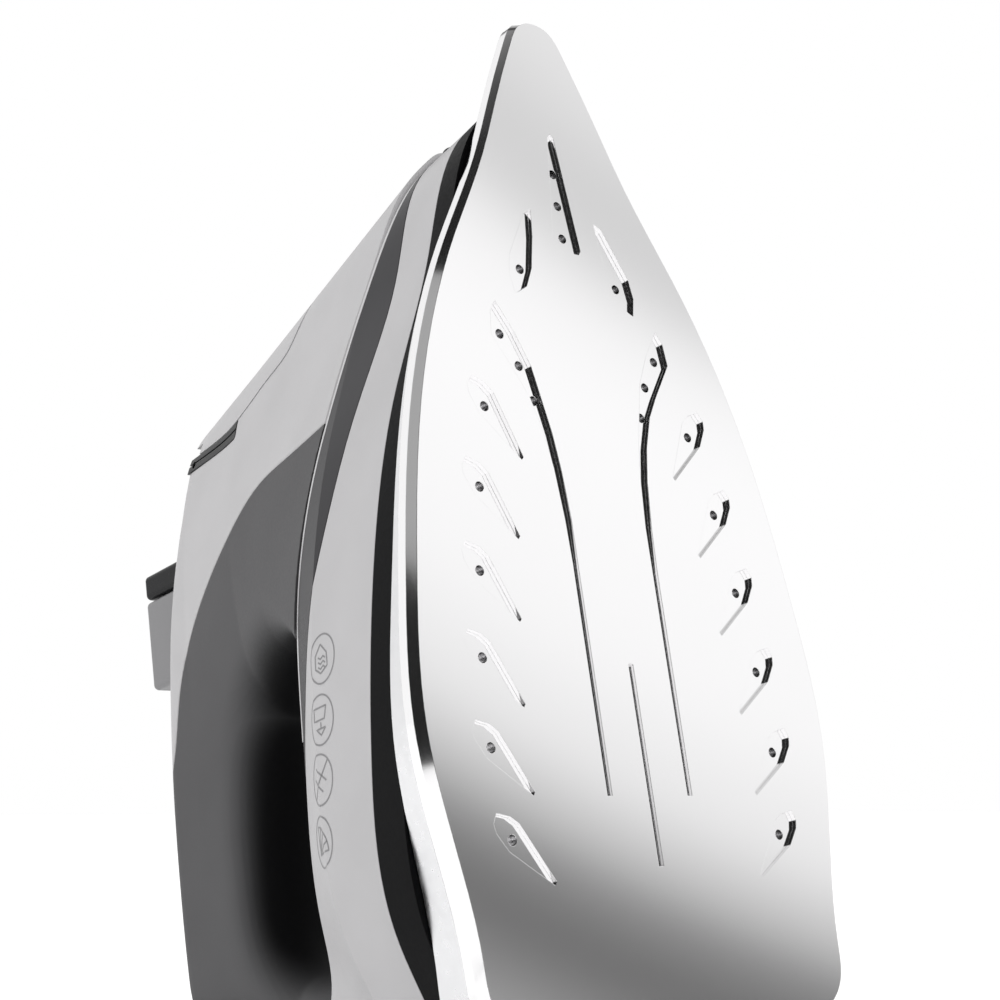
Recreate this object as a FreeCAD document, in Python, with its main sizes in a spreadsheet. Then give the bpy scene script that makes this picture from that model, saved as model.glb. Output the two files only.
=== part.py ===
"""Steam iron standing on its heel, as separate pieces.

Every piece is drawn in the iron's own lying frame: X across, Y back from the tip of the soleplate,
Z up from the sole face to the handle.  One shared placement then stands the iron on its heel.
"""
import FreeCAD, Part
import functools
import math
import os

from FreeCAD import Placement, Rotation, Vector

doc = FreeCAD.newDocument("clothes_iron")
sheet = doc.addObject("Spreadsheet::Sheet", "Sizes")
SIZES = {
    "lean_angle": 11.5,
    "heel_reach": 262.0,
    "sole_length": 250.9,
    "sole_half_width": 60.3,
    "sole_nose": -1.2,
    "sole_thickness": 5.0,
    "sole_bevel_in": 1.2,
    "sole_bevel_up": 2.4,
    "groove_depth": 1.1,
    "steam_hole_radius": 1.15,
    "wall": 2.2,
    "seam": 0.3,
    "casting_top": 18.0,
    "cover_thickness": 1.4,
    "gasket_thickness": 0.6,
    "element_radius": 3.2,
    "shield_floor": 23.0,
    "tank_floor": 27.0,
    "tank_end": 172.0,
    "pin_radius": 1.0,
    "running_gap": 0.05,
    "button_half_width": 16.5,
    "button_top": 171.0,
    "button_travel": 3.0,
    "dial_radius": 17.0,
    "dial_height": 9.0,
    "shaft_radius": 2.5,
    "shaft_behind": 176.0,
    "valve_radius": 2.0,
    "valve_behind": 77.0,
    "spray_behind": 94.5,
    "steam_behind": 111.5,
    "gland_radius": 8.0,
    "gland_half_length": 9.0,
    "gland_behind": 212.0,
    "gland_up": 150.0,
    "cord_bore": 3.6,
    "heel_skin": 5.0,
    "screw_radius": 1.5,
    "nozzle_radius": 2.6,
}
for row, (alias, value) in enumerate(SIZES.items(), start=1):
    sheet.set(f"A{row}", alias)
    sheet.set(f"B{row}", str(value))
    sheet.setAlias(f"B{row}", alias)
doc.recompute()


def size(alias):
    return float(sheet.get(alias))


LEAN = math.radians(size("lean_angle"))
ORIGIN_UP = 26.0
ORIGIN_BEHIND = size("heel_reach") - ORIGIN_UP * math.tan(LEAN)
STAND = Placement(
    Vector(
        0,
        ORIGIN_BEHIND * math.sin(LEAN) - ORIGIN_UP * math.cos(LEAN),
        ORIGIN_BEHIND * math.cos(LEAN) + ORIGIN_UP * math.sin(LEAN),
    ),
    Rotation(Vector(1, 0, 0), -90 - size("lean_angle")),
)
nodes = []

# ---------------------------------------------------------------- outlines

# Soleplate half outline: (distance back / length, half width / greatest half width).
SOLE_SHAPE = (
    (0, 0), (0.027, 0.138), (0.076, 0.231), (0.164, 0.388), (0.257, 0.595), (0.416, 0.844),
    (0.578, 0.965), (0.710, 1.0), (0.891, 0.884), (0.959, 0.677), (0.992, 0.371), (1, 0),
)
# Body half outlines at five heights, from the prow to the heel: (half width, distance back).
BODY_SECTIONS = {
    14: ((0, 17), (8, 20.5), (15.9, 27.5), (31, 62), (44.8, 97), (54.3, 137),
         (57.7, 178), (55, 212), (44.5, 238), (36, 249.5), (24, 254), (0, 255.5)),
    45: ((0, 19.5), (7, 23.4), (14.4, 31), (28.4, 63), (41.7, 98), (51.2, 137),
         (54.6, 178), (51.8, 210), (41, 234), (33, 244), (22, 248), (0, 249.5)),
    112: ((0, 43), (7, 45.6), (13, 51.5), (21.4, 72), (26.3, 99), (25.5, 125),
          (22.3, 150), (22, 178), (23, 205), (20, 222), (12, 233), (0, 235.5)),
    145: ((0, 54), (6.5, 55.8), (12.5, 61.5), (17.6, 79), (20, 100), (21, 125),
          (21.3, 150), (21.3, 178), (21, 205), (19, 218), (12, 226), (0, 228.5)),
    168: ((0, 62.5), (6, 64), (11.5, 68.5), (16.6, 84), (19, 103), (20, 125),
          (20.3, 150), (20.3, 178), (20, 203), (18, 215), (11, 223), (0, 225.5)),
}
# Seam lines seen from the side: (distance back, height).
SKIRT_LOW = ((-20, 5.5), (60, 5.6), (97, 6.5), (150, 8.6), (180, 11), (215, 14), (285, 15))
SHELL_LOW = ((-20, 13), (60, 14), (97, 15.5), (140, 18.5), (178, 22.5), (215, 25), (285, 27))
PANEL_TOP = ((-20, 30), (40, 29), (58, 28.3), (92, 34), (118, 40.5), (143, 49.3), (155, 53.4),
             (170, 58.3), (185, 60.6), (198, 64.6), (210, 71.1), (225, 82), (245, 94.6), (285, 119.6))
DECK_LINE = ((-20, 40), (53, 40), (68, 45.5), (92, 49.8), (122, 56), (137, 58.4), (155, 58.7),
             (170, 58.9), (185, 61), (198, 65), (210, 71.5), (225, 82.4), (245, 95), (285, 120))
TOP_LINE = ((20, 100), (40, 129), (55, 139.5), (64, 143), (78, 147), (93, 151), (115, 155.5),
            (135, 158), (160, 160), (200, 160.5), (250, 160), (285, 159.5))
GRIP_LINE = ((89, 40), (89.6, 76), (90.5, 92), (94.5, 105), (102, 121), (110, 134),
             (119, 144), (132, 151), (147, 156), (165, 172))
DOOR_LINE = ((30, 83.5), (50, 83.8), (54.5, 86.5), (58, 95), (61.5, 105), (65, 116.5),
             (65.6, 125), (65.2, 138), (64.8, 155))
HAND_HOLE = ((141, 60), (136.5, 78), (138, 98), (147, 113), (162, 119), (185, 121),
             (201, 119), (211, 110), (215, 97), (213, 84), (205, 70), (196, 65.5), (185, 62.3), (165, 60))


def points(pairs):
    return [Vector(a, b, 0) for a, b in pairs]


def sole_outline(inset=0.0):
    length = size("sole_length") - 2 * inset
    half = size("sole_half_width") - inset
    nose = size("sole_nose") + inset
    return [(across * half, nose + along * length) for along, across in SOLE_SHAPE]


def body_outline(height, inset=0.0):
    """Half outline at a section height, drawn in by a wall thickness."""
    section = BODY_SECTIONS[height]
    nose = section[0][1]
    rear = section[-1][1]
    widest = max(across for across, _ in section)
    scale = (rear - nose - 2.4 * inset) / (rear - nose)
    shrunk = []
    for across, behind in section:
        share = (widest - inset) / widest
        near_tip = max(0.0, 1 - across / widest) * inset * 0.35 if across else 0
        shrunk.append((max(0, across * share - near_tip), nose + 1.4 * inset + (behind - nose) * scale))
    return shrunk


def half_curve(half, side):
    curve = Part.BSplineCurve()
    curve.interpolate(
        Points=[Vector(side * across, behind, 0) for across, behind in half],
        InitialTangent=Vector(side, 0, 0),
        FinalTangent=Vector(-side, 0, 0),
    )
    return curve


def outline_wire(half, height):
    left = half_curve(half, -1).toShape()
    right = half_curve(half, 1).toShape()
    wire = Part.Wire([left, right])
    wire.translate(Vector(0, 0, height))
    return wire


def prism(half, low, high):
    face = Part.Face(outline_wire(half, low))
    return face.extrude(Vector(0, 0, high - low))


@functools.lru_cache(maxsize=None)
def body_form(inset=0.0):
    """The whole outer form, or the same form drawn in by a wall."""
    wires = [outline_wire(body_outline(height, inset), height) for height in BODY_SECTIONS]
    low = outline_wire(body_outline(14, inset - 0.8), 6)
    return Part.makeLoft([low] + wires, True, True)


HALF_SPAN = 90.0


def side_curve(pairs, smooth=True):
    if smooth:
        curve = Part.BSplineCurve()
        curve.interpolate([Vector(-HALF_SPAN, behind, up) for behind, up in pairs])
        return [curve.toShape()]
    corners = [Vector(-HALF_SPAN, behind, up) for behind, up in pairs]
    return [Part.LineSegment(a, b).toShape() for a, b in zip(corners, corners[1:])]


def side_region(edges):
    face = Part.Face(Part.Wire(Part.__sortEdges__(edges)))
    return face.extrude(Vector(2 * HALF_SPAN, 0, 0))


def shifted(pairs, up):
    return [(behind, height + up) for behind, height in pairs]


def above(pairs, gap=0.0):
    """Everything above a side line that runs the whole length."""
    line = shifted(pairs, gap)
    start, end = line[0], line[-1]
    frame = [start, (start[0], 260), (end[0], 260), end]
    return side_region(side_curve(line) + side_curve(frame, smooth=False))


def between(low, low_gap, high, high_gap):
    return above(low, low_gap).cut(above(high, high_gap))


def side_block(behind_low, behind_high, up_low, up_high):
    corner = Vector(-HALF_SPAN, behind_low, up_low)
    return Part.makeBox(2 * HALF_SPAN, behind_high - behind_low, up_high - up_low, corner)


def behind_heel(offset):
    """Everything past a plane parallel to the resting plane."""
    block = Part.makeBox(2 * HALF_SPAN, 120, 400, Vector(-HALF_SPAN, 0, -100))
    block.rotate(Vector(0, 0, 0), Vector(1, 0, 0), size("lean_angle"))
    block.translate(Vector(0, size("heel_reach") - offset / math.cos(LEAN), 0))
    return block


def door_side(gap=0.0):
    line = [(behind + gap, up - gap) for behind, up in DOOR_LINE]
    frame = [line[0], (line[0][0], line[-1][1]), line[-1]]
    return side_region(side_curve(line) + side_curve(frame, smooth=False))


def grip_side(gap=0.0):
    line = [(behind + gap, up - gap * 0.6) for behind, up in GRIP_LINE]
    frame = [line[0], (290, line[0][1]), (290, line[-1][1]), line[-1]]
    return side_region(side_curve(line) + side_curve(frame, smooth=False))


def hand_hole(grow=0.0):
    middle_behind = 176.0
    middle_up = 92.0
    spread_behind = 1 + grow / 38.0
    spread_up = 1 + grow / 30.0
    loop = [
        Vector(
            -HALF_SPAN,
            middle_behind + (behind - middle_behind) * spread_behind,
            middle_up + (up - middle_up) * spread_up,
        )
        for behind, up in HAND_HOLE
    ]
    curve = Part.BSplineCurve()
    curve.interpolate(Points=loop, PeriodicFlag=True)
    return side_region([curve.toShape()])


def rod(radius, start, end):
    start = Vector(*start)
    run = Vector(*end) - start
    return Part.makeCylinder(radius, run.Length, start, run)


def tube(radius, bore, start, end):
    return rod(radius, start, end).cut(rod(bore, start, end))


def box(centre, dims):
    corner = Vector(*centre) - Vector(*dims) * 0.5
    return Part.makeBox(dims[0], dims[1], dims[2], corner)


def rounded_box(centre, dims, radius):
    block = box(centre, dims)
    return block.makeFillet(radius, block.Edges)


def coil(radius, wire_radius, behind, low, high, turns):
    path = Part.makeHelix((high - low) / turns, high - low, radius)
    ring = Part.Wire([Part.makeCircle(wire_radius, Vector(radius, 0, 0), Vector(0, 1, 0))])
    spring = Part.Wire(path.Edges).makePipeShell([ring], True, True)
    spring.translate(Vector(0, behind, low))
    return spring


def screw(x, behind, up, length, down=True):
    """Pan head screw with a cross slot; the shank points down or up from the head's seat."""
    radius = size("screw_radius")
    way = -1 if down else 1
    shank = rod(radius, (x, behind, up), (x, behind, up + way * length))
    head = rod(radius * 1.9, (x, behind, up), (x, behind, up - way * 1.8))
    slot = box((x, behind, up - way * 1.6), (radius * 2.4, 0.7, 1.0))
    cross = box((x, behind, up - way * 1.6), (0.7, radius * 2.4, 1.0))
    return shank.fuse(head).cut(slot).cut(cross)


def main_solid(shape):
    """The one real solid of a cut, without slivers."""
    return max(shape.Solids, key=lambda solid: solid.Volume)


def piece(label, shape):
    """A free-form piece; its sizes were read from the sheet."""
    feature = doc.addObject("Part::Feature", label)
    feature.Shape = shape
    feature.Label = label
    feature.Placement = STAND.multiply(shape.Placement)
    nodes.append(feature)
    return feature


def keep_body(body, label):
    body.Label = label
    body.Placement = STAND
    nodes.append(body)


def plane_of(body, role):
    return next(item for item in body.Origin.OriginFeatures if item.Role == role)


def new_sketch(body, name, role="XY_Plane"):
    sketch = body.newObject("Sketcher::SketchObject", name)
    sketch.AttachmentSupport = [(plane_of(body, role), "")]
    sketch.MapMode = "FlatFace"
    return sketch


def add_outline(sketch, half):
    sketch.addGeometry(half_curve(half, -1))
    sketch.addGeometry(half_curve(half, 1))


def add_polygon(sketch, corners):
    for start, end in zip(corners, corners[1:] + corners[:1]):
        sketch.addGeometry(Part.LineSegment(start, end))


def add_circle(sketch, centre, radius):
    sketch.addGeometry(Part.Circle(centre, Vector(0, 0, 1), radius))


# ---------------------------------------------------------------- soleplate

LEAF_CORNERS = ((0, 0), (-3.6, 1.4), (-5.7, 3.4), (-11.9, 17.6), (-11.3, 18.3), (-0.9, 8.7), (1.4, 4.2), (1.5, 2.1))
LEAF_HOLE = (-3.5, 6.4)
LEAF_COUNT = 6
LEAF_FIRST = 95.9
LEAF_PITCH = 19.2
LEAF_INSET = 12.9
FORE_POCKET = ((9.9, 51.2), (12.3, 52.6), (18.6, 64.2), (19.4, 69.0), (18.4, 73.6), (17.4, 73.2),
               (14.6, 71.4), (12.3, 66.5), (10.6, 58.0))
FEATHER_INNER = ((25.1, 76.6), (20.6, 83.5), (16.9, 91.3), (15.0, 99.7), (13.4, 106.8), (12.2, 115.7),
                 (11.4, 126.8), (11.3, 188.4))
FEATHER_OUTER = ((12.7, 188.4), (12.9, 137.2), (13.3, 126.9), (14.4, 115.2), (15.9, 107.1), (18.5, 99.2),
                 (21.5, 94.0), (27.4, 85.0), (26.8, 79.5))


def leaf_places():
    """Start point and turn of each steam leaf, following the edge of the sole."""
    edge = half_curve(sole_outline(size("sole_bevel_in")), 1).toShape()
    for index in range(LEAF_COUNT):
        behind = LEAF_FIRST + index * LEAF_PITCH
        line = Part.makeLine(Vector(0, behind, 0), Vector(100, behind, 0))
        half_width = line.distToShape(edge)[1][0][0].x
        yield half_width - LEAF_INSET, behind, math.radians(2.0 * index), 1 - 0.015 * index


def turned(point, turn, scale):
    across, back = point
    return (
        scale * (across * math.cos(turn) - back * math.sin(turn)),
        scale * (across * math.sin(turn) + back * math.cos(turn)),
    )


def steam_pockets(side):
    """Outlines of the pockets on one side."""
    for start, behind, turn, scale in leaf_places():
        corners = [turned(corner, turn, scale) for corner in LEAF_CORNERS]
        yield [Vector(side * (start + across), behind + back, 0) for across, back in corners]
    yield [Vector(side * across, behind, 0) for across, behind in FORE_POCKET]
    yield [Vector(side * across, behind, 0) for across, behind in FEATHER_INNER + FEATHER_OUTER]


def steam_holes(side):
    for start, behind, turn, scale in leaf_places():
        across, back = turned(LEAF_HOLE, turn, scale)
        yield Vector(side * (start + across), behind + back, 0)
    for across, behind in ((15.0, 66.8), (24.0, 84.1), (19.6, 91.2), (16.7, 99.2)):
        yield Vector(side * across, behind, 0)


def make_soleplate():
    body = doc.addObject("PartDesign::Body", "SoleplateBody")
    bevel_up = size("sole_bevel_up")
    face_outline = new_sketch(body, "SoleFaceOutline")
    add_outline(face_outline, sole_outline(size("sole_bevel_in")))
    edge_outline = new_sketch(body, "SoleEdgeOutline")
    edge_outline.AttachmentOffset = Placement(Vector(0, 0, bevel_up), Rotation())
    add_outline(edge_outline, sole_outline())
    doc.recompute()
    bevel = body.newObject("PartDesign::AdditiveLoft", "SoleBevel")
    bevel.Profile = face_outline
    bevel.Sections = [edge_outline]
    bevel.Ruled = True
    doc.recompute()
    pad = body.newObject("PartDesign::Pad", "SolePad")
    pad.Profile = edge_outline
    pad.setExpression("Length", "Sizes.sole_thickness - Sizes.sole_bevel_up")
    doc.recompute()
    grooves = new_sketch(body, "SteamGrooves")
    for side in (-1, 1):
        for corners in steam_pockets(side):
            add_polygon(grooves, corners)
    add_polygon(grooves, points(((0, 29.5), (0.9, 30.6), (4.2, 59.3), (3.4, 60.4), (-3.4, 60.4), (-4.2, 59.3), (-0.9, 30.6))))
    add_polygon(grooves, points(((-0.7, 159.2), (0.7, 159.2), (0.7, 203.6), (-0.7, 203.6))))
    pocket = body.newObject("PartDesign::Pocket", "GroovePocket")
    pocket.Profile = grooves
    pocket.Reversed = True
    pocket.setExpression("Length", "Sizes.groove_depth")
    holes = new_sketch(body, "SteamHoles")
    centres = [Vector(0, behind, 0) for behind in (39.7, 48.0, 56.4)]
    for side in (-1, 1):
        centres.extend(steam_holes(side))
    for centre in centres:
        add_circle(holes, centre, size("steam_hole_radius"))
    vents = body.newObject("PartDesign::Pocket", "SteamVents")
    vents.Profile = holes
    vents.Reversed = True
    vents.setExpression("Length", "Sizes.sole_thickness + 1")
    doc.recompute()
    keep_body(body, "soleplate")


# ---------------------------------------------------------------- hot parts

ELEMENT_UP = 10.0
ELEMENT_NOSE = Vector(0, 88, ELEMENT_UP)
ELEMENT_TURN = 15.0
ELEMENT_END = Vector(34, 212, ELEMENT_UP)
ELEMENT_BEND = 9.0
ELEMENT_TOP = 36.0


def element_path():
    """U with two straight legs whose ends turn up to the terminals."""
    to_end = ELEMENT_END - ELEMENT_NOSE
    angle = math.atan2(to_end.y, to_end.x) - math.acos(ELEMENT_TURN / to_end.Length)
    touch = ELEMENT_NOSE + Vector(math.cos(angle), math.sin(angle), 0) * ELEMENT_TURN
    along = (ELEMENT_END - touch).normalize()
    bend = ELEMENT_BEND
    slant = math.sqrt(0.5)
    low = ELEMENT_END
    middle = low + along * (bend * slant) + Vector(0, 0, bend * (1 - slant))
    high = low + along * bend + Vector(0, 0, bend)
    top = Vector(high.x, high.y, ELEMENT_TOP)

    def mirror(point):
        return Vector(-point.x, point.y, point.z)

    nose = ELEMENT_NOSE - Vector(0, ELEMENT_TURN, 0)
    return Part.Wire([
        Part.LineSegment(top, high).toShape(),
        Part.Arc(high, middle, low).toShape(),
        Part.LineSegment(low, touch).toShape(),
        Part.Arc(touch, nose, mirror(touch)).toShape(),
        Part.LineSegment(mirror(touch), mirror(low)).toShape(),
        Part.Arc(mirror(low), mirror(middle), mirror(high)).toShape(),
        Part.LineSegment(mirror(high), mirror(top)).toShape(),
    ])


def element_solid(radius):
    path = element_path()
    start = path.OrderedVertexes[0].Point
    profile = Part.Wire([Part.makeCircle(radius, start, Vector(0, 0, 1))])
    return path.makePipeShell([profile], True, False)


def make_hot_parts():
    sole_top = size("sole_thickness")
    casting_top = size("casting_top")
    gap = size("seam")
    flange = prism(sole_outline(0.5), sole_top, casting_top).cut(above(SKIRT_LOW, -gap))
    core = prism(sole_outline(8.0), sole_top, casting_top).common(body_form(2 * size("wall") + 0.6))
    chamber = prism(sole_outline(22.0), casting_top - 3.5, casting_top + 1)
    chamber = chamber.common(side_block(64, 161, 0, 40))
    casting = flange.fuse(core).cut(chamber).cut(element_solid(size("element_radius")))
    spots = [(side * across, behind) for across, behind in ((9, 62), (17, 163.5)) for side in (-1, 1)]
    for x, behind in spots:
        casting = casting.cut(rod(size("screw_radius"), (x, behind, casting_top - 6), (x, behind, casting_top + 1)))
    piece("heater_casting", casting)
    piece("heating_element", element_solid(size("element_radius")))
    rim = prism(sole_outline(17.0), casting_top, casting_top + size("gasket_thickness"))
    rim = rim.common(side_block(57, 167, 0, 60))
    inner = prism(sole_outline(21.0), casting_top - 1, casting_top + 2).common(side_block(65, 160, 0, 60))
    gasket = rim.cut(inner)
    cover_low = casting_top + size("gasket_thickness")
    cover_high = cover_low + size("cover_thickness")
    cover = prism(sole_outline(17.0), cover_low, cover_high).common(side_block(57, 167, 0, 60))
    fixings = None
    for x, behind in spots:
        hole = rod(size("screw_radius") + 0.1, (x, behind, 0), (x, behind, 40))
        gasket = gasket.cut(hole)
        cover = cover.cut(hole)
        fixing = screw(x, behind, cover_high, cover_high - casting_top + 5.5)
        fixings = fixing if fixings is None else fixings.fuse(fixing)
    valve = size("valve_behind")
    cover = cover.cut(rod(3.2, (0, valve, 0), (0, valve, 40)))
    piece("chamber_gasket", gasket)
    piece("chamber_cover", cover)
    piece("chamber_screws", fixings)
    piece("thermostat", rounded_box((0, 179, casting_top + 2.2), (22, 17, 4.2), 0.8))
    fuse = rod(2.4, (-13, 217, casting_top + 2.5), (13, 217, casting_top + 2.5))
    leads = rod(0.5, (-18, 217, casting_top + 2.5), (18, 217, casting_top + 2.5))
    piece("thermal_fuse", fuse.fuse(leads))


# ---------------------------------------------------------------- skirt, casing and tank

def join(shapes):
    joined = shapes[0]
    for shape in shapes[1:]:
        joined = joined.fuse(shape)
    return joined


def make_skirt():
    """Black heat shield ring round the casting, and the shield plate over it on spacers."""
    thick = 2 * size("wall")
    low, high, half = PADS[0]
    hollow = body_form(thick).common(between(SKIRT_LOW, -3, SHELL_LOW, 3)).cut(behind_heel(9))
    ring = body_form().common(between(SKIRT_LOW, 0, SHELL_LOW, 0)).cut(behind_heel(2)).cut(hollow)
    piece("heat_shield", main_solid(ring.cut(pad_block(low, high, half, 0, 6.2))))
    floor = size("shield_floor")
    top = floor + 1.2
    shaft = size("shaft_behind")
    valve = size("valve_behind")
    plate = body_form(thick + size("seam")).common(side_block(0, 245, floor, top))
    plate = plate.cut(rod(3.2, (0, shaft, 0), (0, shaft, 60)))
    plate = plate.cut(rod(4.0, (0, valve, 0), (0, valve, 60)))
    terminal = element_path().OrderedVertexes[0].Point
    clearance = size("screw_radius") + 0.1
    for side in (-1, 1):
        hole = rod(4.2, (side * terminal.x, terminal.y, floor - 3), (side * terminal.x, terminal.y, floor + 4))
        plate = plate.cut(hole)
    spots = ((0, 46), (-40, 195), (40, 195))
    for x, behind in spots:
        plate = plate.cut(rod(clearance, (x, behind, floor - 1), (x, behind, floor + 3)))
    piece("shield_plate", plate)
    casting_top = size("casting_top")
    piece("shield_spacers", join([
        tube(4, clearance, (x, behind, casting_top), (x, behind, floor)) for x, behind in spots
    ]))
    piece("shield_screws", join([screw(x, behind, top, top - casting_top) for x, behind in spots]))


def make_shell_and_tank():
    gap = size("seam")
    wall = size("wall")
    heel = behind_heel(size("heel_skin"))
    outer = body_form().cut(heel)
    shell = outer.cut(body_form(wall)).common(between(SHELL_LOW, 0.1, PANEL_TOP, -gap))
    piece("lower_shell", shell.cut(behind_heel(14)))
    floor = size("tank_floor")
    end = size("tank_end")
    window = outer.common(between(PANEL_TOP, 0, DECK_LINE, 0)).common(side_block(0, end, 0, 200))
    inside = body_form(wall + gap).common(side_block(0, end, floor, 200)).cut(above(DECK_LINE, 0))
    room = body_form(2 * wall + gap).common(side_block(0, end - 2, floor + 2, 200)).cut(above(DECK_LINE, -2))
    tank = window.fuse(inside).cut(room)
    tank = tank.cut(rod(9.05, (0, 58, 35), (0, 58, 60)))
    valve = size("valve_behind")
    tank = tank.cut(rod(3.05, (0, valve, 20), (0, valve, 34)))
    tank = tank.cut(rod(2.3, (0, valve, 40), (0, valve, 60)))
    piece("water_tank", tank)
    ring = outer.cut(body_form(1.9)).common(between(DECK_LINE, 0.1, DECK_LINE, 1.3))
    piece("tank_trim", ring.common(side_block(0, 164, 0, 200)))
    deck = body_form(wall).common(between(DECK_LINE, 0.1, DECK_LINE, 1.7)).common(side_block(141, 204, 0, 200))
    shaft = size("shaft_behind")
    deck = deck.cut(rod(size("shaft_radius") + 0.3, (0, shaft, 40), (0, shaft, 90)))
    deck = deck.cut(rod(2.6, (0, 152, 40), (0, 152, 90)))
    piece("deck_cover", deck)
    lens = rod(2.5, (0, 152, 59.0), (0, 152, 61.4)).fuse(rod(3.4, (0, 152, 60.6), (0, 152, 61.6)))
    piece("indicator_lens", lens)


# ---------------------------------------------------------------- upper casing

HINGE_BEHIND = 67.6
HINGE_UP = 140.6
BAND_WIDTH = 4.4
HEEL_COVER = (27.2, 160.0)


def upper_shells():
    wall = size("wall")
    outside = body_form().cut(above(TOP_LINE, 0)).cut(hand_hole()).cut(behind_heel(size("heel_skin")))
    inside = body_form(wall).cut(above(TOP_LINE, -wall)).cut(hand_hole(wall)).cut(behind_heel(size("heel_skin") + wall))
    casing = outside.common(above(DECK_LINE, 1.9))
    return casing, casing.cut(inside)


def knuckle(radius, half_length):
    return rod(radius, (-half_length, HINGE_BEHIND, HINGE_UP), (half_length, HINGE_BEHIND, HINGE_UP))


def make_upper_casing():
    gap = size("seam")
    solid, shell = upper_shells()
    door_zone = door_side()
    band_zone = door_side(BAND_WIDTH).cut(door_side(gap)).common(side_block(0, 100, 113, 200))
    heel_zone = behind_heel(14)
    band_room = door_side(BAND_WIDTH + gap).common(side_block(0, 100, 113 - gap, 200))
    buttons = button_well()
    front = shell.cut(door_side(gap)).cut(grip_side(0)).cut(band_room).cut(buttons)
    selector_slot = box((0, 78, 147), (7, 17, 14))
    start, way = nozzle_line()
    nozzle_hole = Part.makeCylinder(size("nozzle_radius") + 0.05, 9, start - way, way)
    piece("upper_housing", front.cut(selector_slot).cut(nozzle_hole))
    grip = shell.common(grip_side(gap * 0.5)).cut(heel_zone).cut(buttons)
    grip = grip.cut(gland_well())
    piece("grip_cover", main_solid(grip))
    skin = size("heel_skin")
    low, high = HEEL_COVER
    wall = size("wall")
    block = body_form().common(side_block(150, 290, low, high)).cut(behind_heel(skin)).common(behind_heel(14 - gap))
    inner = body_form(wall).common(side_block(150, 290, low - 9, high - wall)).cut(behind_heel(skin + 2.6))
    heel = block.cut(inner).cut(gland_well())
    for x, up in HEEL_SCREWS:
        heel = heel.cut(heel_rod(size("screw_radius") + 0.1, x, up, 4.0, 10.0))
        heel = heel.cut(heel_rod(3.2, x, up, 4.0, 6.2))
    for low, high, half in PADS:
        heel = heel.cut(pad_block(low, high, half, 4.0, 6.2))
    piece("heel_cover", main_solid(heel))
    door = shell.common(door_zone)
    door = door.cut(knuckle(3.0, 11)).cut(side_block(62, 80, 138, 160).common(box((0, 70, 150), (44, 30, 40))))
    web = box((0, 63.9, HINGE_UP - 0.6), (13, 7.2, 2.0))
    barrel = knuckle(2.2, 6.5).cut(knuckle(size("pin_radius") + size("running_gap"), 30))
    door = door.fuse(web.cut(knuckle(2.0, 30))).fuse(barrel)
    piece("fill_door", door)
    band = shell.common(band_zone)
    rib = door_side(BAND_WIDTH / 2 + 0.25).cut(door_side(BAND_WIDTH / 2 - 0.25))
    band = band.cut(rib.cut(body_form(0.9)))
    ears = knuckle(2.0, 10.5).cut(knuckle(5, 7.0)).fuse(box((0, 70.4, HINGE_UP), (21, 2.6, 3.4)))
    clear = knuckle(2.7, 7.0).fuse(box((0, 66, HINGE_UP + 1), (14, 6.5, 9)))
    band = band.fuse(ears.common(solid)).cut(clear)
    band = band.cut(knuckle(size("pin_radius"), 30))
    piece("hinge_recess", band.common(side_block(0, 72.3, 100, 200)))
    piece("door_pin", knuckle(size("pin_radius"), 10.3))


# ---------------------------------------------------------------- buttons and pumps

BUTTON_BLOCKS = {"spray": (91.2, 98.2), "steam": (98.8, 124.2)}


def button_well():
    half = size("button_half_width")
    low = BUTTON_BLOCKS["spray"][0]
    high = BUTTON_BLOCKS["steam"][1]
    return box((0, (low + high) / 2, 165), (2 * half + 0.8, high - low + 0.8, 60))


def button_block(name, low):
    start, end = BUTTON_BLOCKS[name]
    half = size("button_half_width")
    top = size("button_top")
    block = Part.makeBox(2 * half, end - start, top - low, Vector(-half, start, low))
    upright = [edge for edge in block.Edges if abs(edge.tangentAt(edge.FirstParameter).z) > 0.9]
    block = block.makeFillet(1.5, upright)
    top_edges = [edge for edge in block.Edges if edge.BoundBox.ZMin > top - 0.01]
    return block.makeFillet(1.4, top_edges)


def make_buttons():
    steam = size("steam_behind")
    spray = size("spray_behind")
    low = 141.0
    for name, (start, end) in BUTTON_BLOCKS.items():
        hollow = box((0, (start + end) / 2, low), (26, end - start - 2.6, 36))
        piece(f"{name}_button", button_block(name, low).cut(hollow))
    ceiling = low + 18.0
    for name, behind, radius, wide in (("steam", steam, 4.0, 7.0), ("spray", spray, 1.7, 3.4)):
        pump_top = 132.0
        stem = rod(radius * 0.45, (0, behind, 112), (0, behind, ceiling))
        seal = rod(radius, (0, behind, 112), (0, behind, 118))
        piece(f"{name}_piston", stem.fuse(seal))
        pump = rod(wide, (0, behind, 100), (0, behind, pump_top))
        pump = pump.cut(rod(radius + 0.05, (0, behind, 104), (0, behind, pump_top - 2)))
        pump = pump.cut(rod(radius * 0.45 + 0.05, (0, behind, 90), (0, behind, 140)))
        piece(f"{name}_pump", pump)
        spring_top = ceiling - size("button_travel") - 0.4
        spring = coil(radius * 0.45 + 0.75, 0.35, behind, pump_top + 0.4, spring_top, 6)
        piece(f"{name}_spring", spring)


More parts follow.
